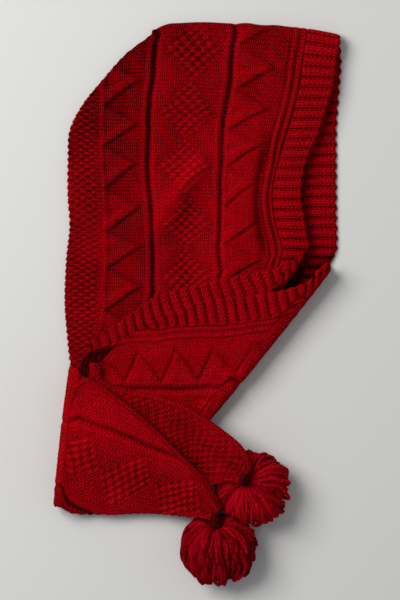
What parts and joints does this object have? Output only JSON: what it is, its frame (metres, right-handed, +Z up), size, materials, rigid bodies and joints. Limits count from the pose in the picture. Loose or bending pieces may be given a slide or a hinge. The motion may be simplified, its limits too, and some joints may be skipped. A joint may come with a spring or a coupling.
{
  "type": "hooded scarf",
  "caption": "Knitted hood that runs on into two tapering scarf tails, each gathered at its end and finished with a pompom, lying on its side with the tails folded up.",
  "frame": {"origin": "on the surface it lies on, under the middle of the spread", "axes": "+Z up from the surface, +Y towards the hood's crown, +X towards the face opening"},
  "size_m": [0.2873, 0.5587, 0.0545],
  "materials": {
    "knit": "matte wool knit, moss stitch, diamonds and zigzags",
    "rib": "matte wool knit, ribbed",
    "pompom_yarn": "cut wool yarn",
    "tie_yarn": "wound wool yarn"
  },
  "bodies": {
    "root": {"right_side": "knit", "left_side": "knit", "right_border": "rib", "left_border": "rib", "right_tie": "tie_yarn", "left_tie": "tie_yarn", "right_pompom": "pompom_yarn", "left_pompom": "pompom_yarn"}
  },
  "joints": []
}
